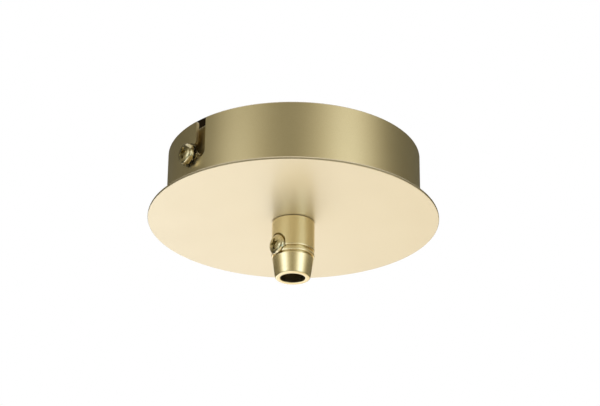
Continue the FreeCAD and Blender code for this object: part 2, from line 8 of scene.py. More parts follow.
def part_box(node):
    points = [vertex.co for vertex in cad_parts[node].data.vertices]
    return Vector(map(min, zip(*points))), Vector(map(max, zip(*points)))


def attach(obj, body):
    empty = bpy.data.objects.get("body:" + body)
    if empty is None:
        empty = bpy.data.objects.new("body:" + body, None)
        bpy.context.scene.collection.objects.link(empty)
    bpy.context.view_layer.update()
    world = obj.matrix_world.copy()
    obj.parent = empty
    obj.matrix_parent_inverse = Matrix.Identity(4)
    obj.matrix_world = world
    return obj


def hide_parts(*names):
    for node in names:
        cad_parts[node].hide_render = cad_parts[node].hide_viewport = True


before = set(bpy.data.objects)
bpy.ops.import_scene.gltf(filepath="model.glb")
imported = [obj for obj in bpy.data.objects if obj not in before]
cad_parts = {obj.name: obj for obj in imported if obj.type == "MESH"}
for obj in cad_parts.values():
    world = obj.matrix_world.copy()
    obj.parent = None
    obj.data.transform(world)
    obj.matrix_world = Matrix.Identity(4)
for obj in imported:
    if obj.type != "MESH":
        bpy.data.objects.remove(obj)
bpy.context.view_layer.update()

# Mounting bracket: a steel strip folded into two ears, screwed flat to the ceiling.
# Its zinc plate is passivated yellow, which leaves a brown gold film in uneven clouds with rubbing marks.
MM = 0.001
CHROMATE_DEEP = (0.34, 0.24, 0.09, 1)
CHROMATE_PALE = (0.66, 0.54, 0.28, 1)
CHROMATE_ROUGHNESS = 0.32, 0.48
CHROMATE_CLOUDS_PER_M = 180
RUBS_PER_M = 2600
RUB_STRETCH = (0.15, 1, 1)
RUB_DEPTH = 0.02
RUB_STRENGTH = 0.35
NOISE_SPAN = 0.3, 0.7


def step(tree, kind, sockets=(), **settings):
    """Add a node, set its properties, and link or fill in its sockets."""
    made = tree.nodes.new(kind)
    for word, setting in settings.items():
        setattr(made, word, setting)
    for socket, source in dict(sockets).items():
        if isinstance(source, bpy.types.NodeSocket):
            tree.links.new(source, made.inputs[socket])
        else:
            made.inputs[socket].default_value = source
    return made


def start_finish(name, metallic):
    """Make a material and return it with its nodes' tree and its shader."""
    finish = bpy.data.materials.new(name)
    finish.use_nodes = True
    shader = finish.node_tree.nodes["Principled BSDF"]
    shader.inputs["Metallic"].default_value = metallic
    return finish, finish.node_tree, shader


def mottle(tree, per_metre, detail=2.0, stretch=(1, 1, 1)):
    """Add noise that is fixed to the piece and return its factor."""
    spot = step(tree, "ShaderNodeTexCoord")
    scaled = step(tree, "ShaderNodeMapping", {"Vector": spot.outputs["Object"], "Scale": stretch})
    noise = step(tree, "ShaderNodeTexNoise",
                 {"Vector": scaled.outputs["Vector"], "Scale": per_metre, "Detail": detail})
    return noise.outputs["Fac"]


def between(tree, factor, dark, light, span=NOISE_SPAN, blend="LINEAR"):
    """Mix two colours by a factor that runs over a span."""
    ramp = step(tree, "ShaderNodeValToRGB", {"Fac": factor})
    ramp.color_ramp.interpolation = blend
    for element, place, shade in zip(ramp.color_ramp.elements, span, (dark, light)):
        element.position, element.color = place, shade
    return ramp.outputs["Color"]


def spread(tree, factor, least, most):
    """Turn a noise factor into a value between least and most."""
    start, end = NOISE_SPAN
    ranged = step(tree, "ShaderNodeMapRange", {
        "Value": factor, "From Min": start, "From Max": end, "To Min": least, "To Max": most})
    return ranged.outputs["Result"]


def relief(tree, shader, height, depth, strength):
    """Give a shader a bump of a real depth in millimetres."""
    bump = step(tree, "ShaderNodeBump", {"Distance": depth * MM, "Strength": strength, "Height": height})
    tree.links.new(bump.outputs["Normal"], shader.inputs["Normal"])


def yellow_zinc():
    """Zinc plate under a yellow passivation."""
    finish, tree, shader = start_finish("yellow_zinc", 1.0)
    clouds = mottle(tree, CHROMATE_CLOUDS_PER_M, detail=4.0)
    rubs = mottle(tree, RUBS_PER_M, stretch=RUB_STRETCH)
    tree.links.new(between(tree, clouds, CHROMATE_DEEP, CHROMATE_PALE), shader.inputs["Base Color"])
    tree.links.new(spread(tree, rubs, *CHROMATE_ROUGHNESS), shader.inputs["Roughness"])
    relief(tree, shader, rubs, RUB_DEPTH, RUB_STRENGTH)
    return finish


def dress(finish, *nodes):
    """Give CAD nodes a finish."""
    for node in nodes:
        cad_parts[node].material_slots[0].material = finish


dress(yellow_zinc(), "mounting_bracket")

# Cover: a steel disc and a rolled drum, tack welded inside and powder coated together.
# The coat is champagne gold with fine metal flake, satin, and thin on the cut edges, which are painted
# darker both for the thin coat and as painted shade where those edges show dark.
DRUM_SHADES = (0.78, 0.65, 0.36, 1), (0.90, 0.77, 0.48, 1)
DRUM_ROUGHNESS = 0.30
# Painted light: the disc's shades are paler than the drum's, though both carry one coat, to stand for the
# brighter light the disc catches from the floor below.
LIT_PLATE_SHADES = (0.86, 0.75, 0.51, 1), (0.96, 0.86, 0.64, 1)
PLATE_ROUGHNESS = 0.58
# Thin coat and painted shade: the darker colour of the cut edges.
THIN_COAT_AND_SHADE = (0.58, 0.48, 0.30, 1)
COVER_GLOSS = 1.0
COAT_EDGE = 0.05
COAT_METALLIC = 0.93
COAT_ROUGHNESS = 0.25
ROUGHNESS_SWING = 0.02
FLAKES_PER_M = 9000
PAINT_CLOUDS_PER_M = 60
PAINT_SKIN_PER_M = 2400
PAINT_SKIN_DEPTH = 0.01
PAINT_SKIN_STRENGTH = 0.4
MIX_FIRST, MIX_SECOND, MIX_RESULT = 6, 7, 2
TO_METRES = Matrix.Scale(MM, 4)
MERGE_REACH = 0.00001
SHARP_ANGLE = math.radians(35)
CORNER_STEPS = 5
CORNER_HOLD = 1.2
DRUM_WALL = 1.0
PLATE_HOLE = 5.05
PLATE_HOLE_ROUND = 0.1
PLATE_FRONT_ROUND = 0.3
PLATE_BACK_ROUND = 0.8


def worked(tree, operation, first, second):
    """Work out one sum in a tree."""
    return step(tree, "ShaderNodeMath", {0: first, 1: second}, operation=operation).outputs["Value"]


def in_zone(tree, zone):
    """Return 1 between two distances from the Z axis, in millimetres, and 0 elsewhere."""
    spot = step(tree, "ShaderNodeTexCoord")
    flat = step(tree, "ShaderNodeVectorMath", {0: spot.outputs["Object"], 1: (1, 1, 0)},
                operation="MULTIPLY")
    reach = step(tree, "ShaderNodeVectorMath", {0: flat.outputs["Vector"]}, operation="LENGTH")
    beyond = worked(tree, "GREATER_THAN", reach.outputs["Value"], zone[0] * MM)
    within = worked(tree, "LESS_THAN", reach.outputs["Value"], zone[1] * MM)
    return worked(tree, "MULTIPLY", beyond, within)


def mixed_colour(tree, factor, first, second):
    """Mix two colours by a factor."""
    mix = step(tree, "ShaderNodeMix", {"Factor": factor, MIX_FIRST: first, MIX_SECOND: second},
               data_type="RGBA")
    return mix.outputs[MIX_RESULT]


def champagne_paint(name, shades, roughness, gloss, thin_and_shaded_zone, thin_and_shaded_colour):
    """Satin metallic powder coat in champagne gold, thin or missing in one zone of distances from Z, where a
    darker colour stands for both the thin coat and painted shade.
    """
    finish, tree, shader = start_finish(name, COAT_METALLIC)
    flakes = mottle(tree, FLAKES_PER_M, detail=1.0)
    clouds = mottle(tree, PAINT_CLOUDS_PER_M)
    skin = mottle(tree, PAINT_SKIN_PER_M, detail=3.0)
    thin_and_shaded = in_zone(tree, thin_and_shaded_zone)
    tree.links.new(mixed_colour(tree, thin_and_shaded, between(tree, flakes, *shades), thin_and_shaded_colour),
                   shader.inputs["Base Color"])
    tree.links.new(spread(tree, clouds, roughness - ROUGHNESS_SWING, roughness + ROUGHNESS_SWING),
                   shader.inputs["Roughness"])
    tree.links.new(worked(tree, "MAXIMUM", worked(tree, "SUBTRACT", gloss, thin_and_shaded), 0.0),
                   shader.inputs["Coat Weight"])
    shader.inputs["Coat Roughness"].default_value = COAT_ROUGHNESS
    relief(tree, shader, skin, PAINT_SKIN_DEPTH, PAINT_SKIN_STRENGTH)
    return finish


def finish_mesh(name, worked_mesh):
    """Turn a bmesh into a mesh with outward faces, smooth but for its sharp edges."""
    bmesh.ops.remove_doubles(worked_mesh, verts=worked_mesh.verts, dist=MERGE_REACH)
    bmesh.ops.recalc_face_normals(worked_mesh, faces=worked_mesh.faces)
    mesh = bpy.data.meshes.new(name)
    worked_mesh.to_mesh(mesh)
    worked_mesh.free()
    mesh.shade_smooth()
    mesh.set_sharp_from_angle(angle=SHARP_ANGLE)
    return mesh


def lathe(name, profile, steps=64):
    """Turn a closed outline of (radius, height) points about Z into a closed mesh."""
    turned = bmesh.new()
    rings = []
    for radius, height in profile:
        turns = [math.tau * i / steps for i in range(steps if radius else 1)]
        ring = [turned.verts.new((radius * math.cos(turn), radius * math.sin(turn), height))
                for turn in turns]
        rings.append(ring if radius else ring * steps)
    for near, far in zip(rings, rings[1:] + rings[:1]):
        for i in range(steps):
            after = (i + 1) % steps
            corners = list(dict.fromkeys((near[i], near[after], far[after], far[i])))
            if len(corners) > 2:
                turned.faces.new(corners)
    return finish_mesh(name, turned)


def soften(corners):
    """Round the corners (radius, height, setback) of a closed outline and hold the flats beside them."""
    rounded = []
    for i, (radius, height, setback) in enumerate(corners):
        corner = Vector((radius, height))
        if not setback:
            rounded.append((radius, height))
            continue
        back = (Vector(corners[i - 1][:2]) - corner).normalized() * setback
        on = (Vector(corners[(i + 1) % len(corners)][:2]) - corner).normalized() * setback
        rounded.append(tuple(corner + back * CORNER_HOLD))
        for k in range(CORNER_STEPS + 1):
            part = k / CORNER_STEPS
            rounded.append(tuple(corner + back * (1 - part) ** 2 + on * part ** 2))
        rounded.append(tuple(corner + on * CORNER_HOLD))
    return rounded


def add_piece(name, mesh, carried, finish, body, slot, *nodes):
    """Carry a mesh made in millimetres to its place, give it its finish, hang it on its body and hide the
    CAD nodes it stands for.
    """
    mesh.transform(carried)
    mesh.materials.clear()
    mesh.materials.append(finish)
    piece = bpy.data.objects.new(name, mesh)
    bpy.context.scene.collection.objects.link(piece)
    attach(piece, body)
    if nodes:
        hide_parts(*nodes)


low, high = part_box("face_plate")
plate_front, plate_back, plate_radius = low[2] / MM, high[2] / MM, high[0] / MM
drum_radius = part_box("side_ring")[1][0] / MM
drum_inside = drum_radius - DRUM_WALL
DRUM_PAINT = champagne_paint("drum_paint", DRUM_SHADES, DRUM_ROUGHNESS, COVER_GLOSS,
                             (drum_inside + COAT_EDGE, drum_radius - COAT_EDGE), THIN_COAT_AND_SHADE)
PLATE_PAINT = champagne_paint("plate_paint", LIT_PLATE_SHADES, PLATE_ROUGHNESS, COVER_GLOSS,
                              (plate_radius - COAT_EDGE, plate_radius + COAT_EDGE), THIN_COAT_AND_SHADE)
dress(DRUM_PAINT, "side_ring")
disc = lathe("plate_disc", soften([
    (PLATE_HOLE, plate_front, PLATE_HOLE_ROUND), (plate_radius, plate_front, PLATE_FRONT_ROUND),
    (plate_radius, plate_back, PLATE_BACK_ROUND), (PLATE_HOLE, plate_back, PLATE_HOLE_ROUND)]), steps=192)
add_piece("plate_disc", disc, TO_METRES, PLATE_PAINT, "cover", "gold_paint", "face_plate")

# Tack welds: short rippled beads of steel in the corner between the drum and the disc.
# They are laid inside at even spaces before the cover is coated, so the paint runs over them.
BEAD_COUNT = 6
BEAD_LENGTH = 11.0
BEAD_DEPTH = 1.3
BEAD_RISE = 1.4
BEAD_RIPPLES = 7
BEAD_RIPPLE_DEPTH = 0.10
BEAD_LIFT = 0.3
BEAD_INSET = 0.45


def new_tree(name, *inputs):
    """Start a Geometry Nodes tree with named inputs: (name, socket kind, first value)."""
    tree = bpy.data.node_groups.new(name, "GeometryNodeTree")
    tree.interface.new_socket("Geometry", in_out="INPUT", socket_type="NodeSocketGeometry")
    tree.interface.new_socket("Geometry", in_out="OUTPUT", socket_type="NodeSocketGeometry")
    for word, kind, first in inputs:
        socket = tree.interface.new_socket(word, in_out="INPUT", socket_type=f"NodeSocket{kind}")
        socket.default_value = first
    tree.interface.new_socket("Finish", in_out="INPUT", socket_type="NodeSocketMaterial")
    return tree, step(tree, "NodeGroupInput").outputs


def end_tree(tree, given, geometry):
    """Make the result real, give it its finish and end the tree."""
    real = step(tree, "GeometryNodeRealizeInstances", {"Geometry": geometry})
    finished = step(tree, "GeometryNodeSetMaterial",
                    {"Geometry": real.outputs["Geometry"], "Material": given["Finish"]})
    step(tree, "NodeGroupOutput", {"Geometry": finished.outputs["Geometry"]})


def spaced_round(tree, count, unit):
    """Repeat a unit evenly about Z and return the copies."""
    points = step(tree, "GeometryNodePoints", {"Count": count})
    index = step(tree, "GeometryNodeInputIndex").outputs["Index"]
    turn = worked(tree, "MULTIPLY", index, worked(tree, "DIVIDE", math.tau, count))
    turns = step(tree, "ShaderNodeCombineXYZ", {"Z": turn})
    copies = step(tree, "GeometryNodeInstanceOnPoints", {
        "Points": points.outputs["Points"], "Instance": unit, "Rotation": turns.outputs["Vector"]})
    return copies.outputs["Instances"]


def grow(tree, mesh, **sizes):
    """Run a tree on a mesh and return the result as a plain mesh."""
    shop = bpy.data.objects.new(tree.name, mesh)
    bpy.context.scene.collection.objects.link(shop)
    modifier = shop.modifiers.new(tree.name, "NODES")
    modifier.node_group = tree
    for item in tree.interface.items_tree:
        word = item.name.lower()
        if item.in_out == "INPUT" and word in sizes:
            modifier[item.identifier] = sizes[word]
    made = bpy.data.meshes.new_from_object(shop.evaluated_get(bpy.context.evaluated_depsgraph_get()))
    bpy.data.objects.remove(shop)
    return made


def weld_bead(radius, level):
    """Model one rippled bead across the X axis at a radius and a level."""
    bead = bmesh.new()
    bmesh.ops.create_uvsphere(bead, u_segments=40, v_segments=16, radius=1.0)
    for vertex in bead.verts:
        along, out, up = vertex.co.z, vertex.co.x, vertex.co.y
        ripple = 1 - BEAD_RIPPLE_DEPTH * math.cos(BEAD_RIPPLES * math.pi * along) ** 2
        vertex.co = (radius + out * BEAD_DEPTH * ripple, along * BEAD_LENGTH / 2,
                     level + up * BEAD_RISE * ripple)
    half_gap = Matrix.Rotation(math.pi / BEAD_COUNT, 4, "Z")
    bmesh.ops.transform(bead, matrix=half_gap, verts=bead.verts)
    return finish_mesh("weld_bead", bead)


bead_ring, given = new_tree("weld_beads", ("Count", "Int", BEAD_COUNT))
end_tree(bead_ring, given, spaced_round(bead_ring, given["Count"], given["Geometry"]))
one_bead = weld_bead(drum_inside - BEAD_INSET, plate_back + BEAD_LIFT)
add_piece("weld_beads", grow(bead_ring, one_bead, count=BEAD_COUNT, finish=DRUM_PAINT), TO_METRES,
          DRUM_PAINT, "cover", "gold_paint")

# Threaded nipple: an M10 x 1 steel tube with clear zinc plate, rolled with thread from end to end.
# It is screwed into the cord grip, stands through the plate's hole and lets the cable pass.
ZINC_DARK = (0.50, 0.50, 0.50, 1)
ZINC_LIGHT = (0.72, 0.72, 0.70, 1)
ZINC_ROUGHNESS = 0.28, 0.46
ZINC_CRYSTALS_PER_M = 700
NIPPLE_BORE = 4.0
NIPPLE_CORE = 4.45
NIPPLE_CREST = 5.0
NIPPLE_PITCH = 1.0
NIPPLE_CHAMFER = 0.45
RIDGE_STEPS_PER_TURN = 40
RIDGE_HALF_BASE = 0.42
RIDGE_RUNOUT_TURNS = 0.5
RIDGE_END = 0.05


def clear_zinc():
    """Barrel zinc plate on turned or pressed steel."""
    finish, tree, shader = start_finish("clear_zinc", 1.0)
    crystals = mottle(tree, ZINC_CRYSTALS_PER_M, detail=4.0)
    rubs = mottle(tree, RUBS_PER_M, stretch=RUB_STRETCH)
    tree.links.new(between(tree, crystals, ZINC_DARK, ZINC_LIGHT), shader.inputs["Base Color"])
    tree.links.new(spread(tree, rubs, *ZINC_ROUGHNESS), shader.inputs["Roughness"])
    relief(tree, shader, rubs, RUB_DEPTH, RUB_STRENGTH)
    return finish


def seat(node, outward, top):
    """Place work made along Z in millimetres so that its top meets the node's outermost face."""
    low, high = (Vector(corner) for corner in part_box(node))
    outward = Vector(outward)
    reach = abs((high - low).dot(outward)) / 2
    turn = outward.to_track_quat("Z", "Y").to_matrix().to_4x4()
    return Matrix.Translation((low + high) / 2 + outward * (reach - top * MM)) @ turn @ TO_METRES


def joined(tree, first, second):
    """Join two shapes in a tree."""
    both = step(tree, "GeometryNodeJoinGeometry", {"Geometry": first})
    tree.links.new(second, both.inputs["Geometry"])
    return both.outputs["Geometry"]


def thread_tree():
    """Build the tree that winds one helical ridge round a shank and fades it out at both ends."""
    tree, given = new_tree(
        "thread", ("Core", "Float", NIPPLE_CORE), ("Crest", "Float", NIPPLE_CREST),
        ("Pitch", "Float", NIPPLE_PITCH), ("Turns", "Float", 1.0), ("Foot", "Float", 0.0))
    spiral = step(tree, "GeometryNodeCurveSpiral", {
        "Resolution": RIDGE_STEPS_PER_TURN, "Rotations": given["Turns"],
        "Start Radius": given["Core"], "End Radius": given["Core"],
        "Height": worked(tree, "MULTIPLY", given["Pitch"], given["Turns"])})
    lifted = step(tree, "ShaderNodeCombineXYZ", {"Z": given["Foot"]})
    raised = step(tree, "GeometryNodeTransform",
                  {"Geometry": spiral.outputs["Curve"], "Translation": lifted.outputs["Vector"]})
    upright = step(tree, "GeometryNodeSetCurveNormal", {"Curve": raised.outputs["Geometry"]}, mode="Z_UP")
    along = step(tree, "GeometryNodeSplineParameter").outputs["Factor"]
    from_end = worked(tree, "MINIMUM", along, worked(tree, "SUBTRACT", 1.0, along))
    turns_in = worked(tree, "MULTIPLY", from_end, given["Turns"])
    fade = worked(tree, "MINIMUM", worked(tree, "DIVIDE", turns_in, RIDGE_RUNOUT_TURNS), 1.0)
    ridge_depth = worked(tree, "SUBTRACT", given["Crest"], given["Core"])
    half_base = worked(tree, "MULTIPLY", given["Pitch"], RIDGE_HALF_BASE)
    ridge_shape = step(tree, "GeometryNodeCurvePrimitiveQuadrilateral", {
        "Width": worked(tree, "MULTIPLY", ridge_depth, 2.0),
        "Bottom Height": half_base, "Top Height": half_base}, mode="KITE")
    ridge = step(tree, "GeometryNodeCurveToMesh", {
        "Curve": upright.outputs["Curve"], "Profile Curve": ridge_shape.outputs["Curve"],
        "Scale": worked(tree, "MAXIMUM", fade, RIDGE_END), "Fill Caps": True})
    end_tree(tree, given, joined(tree, ridge.outputs["Mesh"], given["Geometry"]))
    return tree


ZINC = clear_zinc()
thread = thread_tree()
low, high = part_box("threaded_nipple")
length = (high[2] - low[2]) / MM
chamfer_radius = NIPPLE_CORE - NIPPLE_CHAMFER / 2
tube = lathe("nipple_tube", [
    (NIPPLE_BORE, 0), (chamfer_radius, 0), (NIPPLE_CORE, NIPPLE_CHAMFER),
    (NIPPLE_CORE, length - NIPPLE_CHAMFER), (chamfer_radius, length), (NIPPLE_BORE, length)])
tube = grow(thread, tube, core=NIPPLE_CORE, crest=NIPPLE_CREST, pitch=NIPPLE_PITCH,
            turns=(length - 2 * NIPPLE_CHAMFER) / NIPPLE_PITCH, foot=NIPPLE_CHAMFER, finish=ZINC)
add_piece("nipple_tube", tube, seat("threaded_nipple", (0, 0, 1), length), ZINC, "cover", "zinc_plate",
          "threaded_nipple")

# Nipple's washer and nut: a toothed lock washer stamped from spring steel and a thin hexagon nut.
# Both are steel with clear zinc plate, and together they clamp the nipple and the grip to the plate.
WASHER_STEPS = 96
WASHER_TWIST = math.radians(24)
TOOTH_TAPER = 0.82
TOOTH_EDGE = 0.08
NIPPLE_WASHER = {"bore": 5.15, "root": 7.4, "tip": 9.0, "thickness": 0.7, "width": 1.9, "teeth": 14}


def toothed_ring_tree():
    """Build the tree that sets teeth evenly round a flat ring."""
    tree, given = new_tree(
        "toothed_ring", ("Bore", "Float", NIPPLE_WASHER["bore"]), ("Root", "Float", NIPPLE_WASHER["root"]),
        ("Thickness", "Float", NIPPLE_WASHER["thickness"]), ("Teeth", "Int", NIPPLE_WASHER["teeth"]))
    middle = worked(tree, "MULTIPLY", worked(tree, "ADD", given["Bore"], given["Root"]), 0.5)
    path = step(tree, "GeometryNodeCurvePrimitiveCircle", {"Resolution": WASHER_STEPS, "Radius": middle})
    shape = step(tree, "GeometryNodeCurvePrimitiveQuadrilateral", {
        "Width": worked(tree, "SUBTRACT", given["Root"], given["Bore"]), "Height": given["Thickness"]})
    ring = step(tree, "GeometryNodeCurveToMesh", {
        "Curve": path.outputs["Curve"], "Profile Curve": shape.outputs["Curve"]})
    teeth = spaced_round(tree, given["Teeth"], given["Geometry"])
    end_tree(tree, given, joined(tree, ring.outputs["Mesh"], teeth))
    return tree


def tooth(root, tip, thickness, width):
    """Model one twisted tooth on the X axis, narrower at its tip and with broken edges."""
    blade = bmesh.new()
    bmesh.ops.create_cube(blade, size=1.0)
    for vertex in blade.verts:
        outer = vertex.co.x > 0
        taper = TOOTH_TAPER if outer else 1.0
        vertex.co = (tip if outer else root - thickness, vertex.co.y * width * taper,
                     vertex.co.z * thickness)
    bmesh.ops.bevel(blade, geom=blade.edges[:], offset=TOOTH_EDGE, segments=2, affect="EDGES")
    bmesh.ops.transform(blade, matrix=Matrix.Rotation(WASHER_TWIST, 4, "X"), verts=blade.verts)
    return finish_mesh("tooth", blade)


def toothed_washer(node, outward, body, slot, finish, bore, root, tip, thickness, width, teeth):
    """Stamp a lock washer with twisted teeth in place of a node."""
    half_height = (thickness * math.cos(WASHER_TWIST) + width * math.sin(WASHER_TWIST)) / 2
    washer = grow(toothed_ring, tooth(root, tip, thickness, width), bore=bore, root=root,
                  thickness=thickness, teeth=teeth, finish=finish)
    add_piece(f"{node}_piece", washer, seat(node, outward, half_height), finish, body, slot, node)


toothed_ring = toothed_ring_tree()
toothed_washer("nipple_lock_washer", (0, 0, 1), "cover", "zinc_plate", ZINC, **NIPPLE_WASHER)
dress(ZINC, "nipple_nut")

# Cord grip: turned from one steel bar, with two grooves and a cone, and painted with the cover.
# Its side screw's head sits in a milled recess, and a tapped hole leads from there to the bore.
# The coat does not reach into the cable's bore, where the metal stays bare and dull, and its colour there is
# also painted darker as painted shade for the depth of the bore.
GRIP_ROUGHNESS = 0.24
GRIP_GLOSS = 0.3
# Bare metal and painted shade: the dark colour inside the cable's bore.
BARE_METAL_AND_SHADE = (0.42, 0.34, 0.20, 1)
SLEEVE_RADIUS = 7.36
SLEEVE_LENGTH = 11.0
GROOVE_RADIUS = 6.45
UPPER_GROOVE = 0.75
BAND_WIDTH = 1.15
LOWER_GROOVE = 0.7
CONE_TOP_RADIUS = 7.1
CONE_FOOT_RADIUS = 5.95
CABLE_BORE = 4.2
CHAMBER_RADIUS = 4.7
CHAMBER_LENGTH = 5.9
THREAD_DEPTH = 7.2
RECESS_FLOOR = 5.9
RECESS_RADIUS = 3.8
RECESS_RISE = 0.3
GRIP_SCREW_DEPTH = 9.9
TAPPED_RADIUS = 2.05
OVERCUT = 1.0
MOUTH_BEVEL = 0.4
MOUTH_ROUND = 0.6
BASE_RADIUS = 6.0
BASE_GAP = 0.22
BASE_ROUND = 0.15
SLEEVE_EDGE = 0.42
BAND_EDGE = 0.45
TURNED_EDGE = 0.12
GROOVE_EDGE = 0.05


def prism(name, outline, near, far):
    """Model a prism along X from an outline of (y, z) points."""
    made = bmesh.new()
    ends = [[made.verts.new((x, y, z)) for y, z in outline] for x in (near, far)]
    made.faces.new(ends[0])
    made.faces.new(ends[1])
    for i in range(len(outline)):
        after = (i + 1) % len(outline)
        made.faces.new((ends[0][i], ends[0][after], ends[1][after], ends[1][i]))
    return finish_mesh(name, made)


def round_outline(radius, middle, rise=0.0, steps=64):
    """Give the outline of a round hole that may be drawn out upward by a rise."""
    return [(radius * math.cos(turn), middle + radius * math.sin(turn) + (rise if turn < math.pi else 0))
            for turn in (math.tau * i / steps for i in range(steps))]


def cut_by(mesh, tool):
    """Cut a mesh by a tool and keep the cut's edges sharp."""
    shop = [bpy.data.objects.new(item.name, item) for item in (mesh, tool)]
    for item in shop:
        bpy.context.scene.collection.objects.link(item)
    cut = shop[0].modifiers.new("cut", "BOOLEAN")
    cut.operation = "DIFFERENCE"
    cut.object = shop[1]
    made = bpy.data.meshes.new_from_object(shop[0].evaluated_get(bpy.context.evaluated_depsgraph_get()))
    for item in shop:
        bpy.data.objects.remove(item)
    made.shade_smooth()
    made.set_sharp_from_angle(angle=SHARP_ANGLE)
    return made


low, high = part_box("grip_body")
foot, base = low[2] / MM, high[2] / MM
sleeve_end = base - SLEEVE_LENGTH
band_top = sleeve_end - UPPER_GROOVE
band_end = band_top - BAND_WIDTH
cone_top = band_end - LOWER_GROOVE
thread_end = base - THREAD_DEPTH
chamber_end = thread_end - CHAMBER_LENGTH
grip = lathe("grip_turned", soften([
    (CABLE_BORE, foot, MOUTH_BEVEL), (CONE_FOOT_RADIUS, foot, MOUTH_ROUND),
    (CONE_TOP_RADIUS, cone_top, TURNED_EDGE), (GROOVE_RADIUS, cone_top, GROOVE_EDGE),
    (GROOVE_RADIUS, band_end, GROOVE_EDGE), (SLEEVE_RADIUS, band_end, BAND_EDGE),
    (SLEEVE_RADIUS, band_top, TURNED_EDGE), (GROOVE_RADIUS, band_top, GROOVE_EDGE),
    (GROOVE_RADIUS, sleeve_end, GROOVE_EDGE), (SLEEVE_RADIUS, sleeve_end, SLEEVE_EDGE),
    (SLEEVE_RADIUS, base - BASE_GAP, BASE_ROUND), (BASE_RADIUS, base - BASE_GAP, 0), (BASE_RADIUS, base, 0),
    (PLATE_HOLE, base, 0), (PLATE_HOLE, thread_end, 0),
    (CHAMBER_RADIUS, thread_end, 0), (CHAMBER_RADIUS, chamber_end, 0), (CABLE_BORE, chamber_end, 0)]),
    steps=128)
screw_level = base - GRIP_SCREW_DEPTH
head_recess = prism("head_recess", round_outline(RECESS_RADIUS, screw_level, RECESS_RISE),
                    -SLEEVE_RADIUS - OVERCUT, -RECESS_FLOOR)
tapped_hole = prism("tapped_hole", round_outline(TAPPED_RADIUS, screw_level),
                    -RECESS_FLOOR - OVERCUT, OVERCUT - CABLE_BORE)
grip = cut_by(cut_by(grip, head_recess), tapped_hole)
GRIP_PAINT = champagne_paint("grip_paint", DRUM_SHADES, GRIP_ROUGHNESS, GRIP_GLOSS,
                             (0.0, CABLE_BORE + GROOVE_EDGE), BARE_METAL_AND_SHADE)
add_piece("grip_turned", grip, TO_METRES, GRIP_PAINT, "cover", "gold_paint", "grip_body")

# Clamp saddle: a curved pad moulded in natural nylon.
# It lies loose in the grip's chamber, where the grip screw drives it against the cable.
NYLON_SHADE = (0.74, 0.72, 0.66, 1)
NYLON_LIGHT = (0.84, 0.83, 0.78, 1)
NYLON_ROUGHNESS = 0.42, 0.55
NYLON_SKIN_PER_M = 5000
NYLON_SKIN_DEPTH = 0.02
NYLON_SKIN_STRENGTH = 0.4


def moulded_nylon():
    """Natural nylon with a fine spark-eroded skin."""
    finish, tree, shader = start_finish("moulded_nylon", 0.0)
    skin = mottle(tree, NYLON_SKIN_PER_M)
    tree.links.new(between(tree, skin, NYLON_SHADE, NYLON_LIGHT), shader.inputs["Base Color"])
    tree.links.new(spread(tree, skin, *NYLON_ROUGHNESS), shader.inputs["Roughness"])
    relief(tree, shader, skin, NYLON_SKIN_DEPTH, NYLON_SKIN_STRENGTH)
    return finish


dress(moulded_nylon(), "clamp_saddle")

# Screws: M4 with small rounded heads and cross recesses, cold formed in steel and nickel plated.
# Two clamp the drum to the ears, one holds the earth wire and one drives the saddle in the grip.
NICKEL_DARK = (0.40, 0.34, 0.18, 1)
NICKEL_LIGHT = (0.76, 0.66, 0.42, 1)
NICKEL_ROUGHNESS = 0.16, 0.26
FORMING_MARKS_PER_M = 1800
FORMING_DEPTH = 0.03
FORMING_STRENGTH = 0.3
HEAD_RADIUS = 3.5
HEAD_HEIGHT = 2.4
HEAD_SIDE = 1.0
HEAD_EDGE = 0.15
CROWN_SPREAD = 0.65
CROWN_RISE = 0.9
CROWN_STEP = 9
CORE_RADIUS = 1.6
CREST_RADIUS = 2.0
SCREW_PITCH = 0.7
TIP_CHAMFER = 0.4
RECESS_REACH = 2.1
RECESS_HALF_WIDTH = 0.50
RECESS_FLARE = 0.32
RECESS_DEPTH = 1.45
RECESS_TIP = 0.35
PUNCH_ABOVE = 0.3
PUNCH_MOUTH = 1.1
PUNCH_FLOOR = 0.62
WING_TAPER = 0.6
SCREWS = (("side_screw_left", (-1, 0, 0), "left_screw"), ("side_screw_right", (1, 0, 0), "right_screw"),
          ("earth_screw", (0, 0, -1), "bracket"), ("grip_screw", (-1, 0, 0), "clamp_screw"))


def bright_nickel():
    """Nickel plate that keeps the marks of cold forming."""
    finish, tree, shader = start_finish("bright_nickel", 1.0)
    marks = mottle(tree, FORMING_MARKS_PER_M, detail=3.0)
    tree.links.new(between(tree, marks, NICKEL_DARK, NICKEL_LIGHT), shader.inputs["Base Color"])
    tree.links.new(spread(tree, marks, *NICKEL_ROUGHNESS), shader.inputs["Roughness"])
    relief(tree, shader, marks, FORMING_DEPTH, FORMING_STRENGTH)
    return finish


def punch_outline(scale):
    """Give the outline of the cross punch where it is scaled by a share of its full reach."""
    reach, flare = RECESS_REACH * scale, RECESS_FLARE * scale
    half_width = RECESS_HALF_WIDTH * (1 - WING_TAPER + WING_TAPER * scale)
    quarter = [(reach, half_width), (half_width + flare, half_width), (half_width, half_width + flare),
               (half_width, reach)]
    return [(x * math.cos(turn) - y * math.sin(turn), x * math.sin(turn) + y * math.cos(turn))
            for turn in (0, math.pi / 2, math.pi, -math.pi / 2) for x, y in quarter]


def cross_punch():
    """Model the punch that forms the recess, from above the crown to its point."""
    tool = bmesh.new()
    mouth, floor = [[tool.verts.new((x, y, height)) for x, y in punch_outline(scale)]
                    for height, scale in ((HEAD_HEIGHT + PUNCH_ABOVE, PUNCH_MOUTH),
                                          (HEAD_HEIGHT - RECESS_DEPTH, PUNCH_FLOOR))]
    point = tool.verts.new((0, 0, HEAD_HEIGHT - RECESS_DEPTH - RECESS_TIP))
    tool.faces.new(mouth)
    for i in range(len(mouth)):
        after = (i + 1) % len(mouth)
        tool.faces.new((mouth[i], mouth[after], floor[after], floor[i]))
        tool.faces.new((floor[i], floor[after], point))
    return finish_mesh("cross_punch", tool)


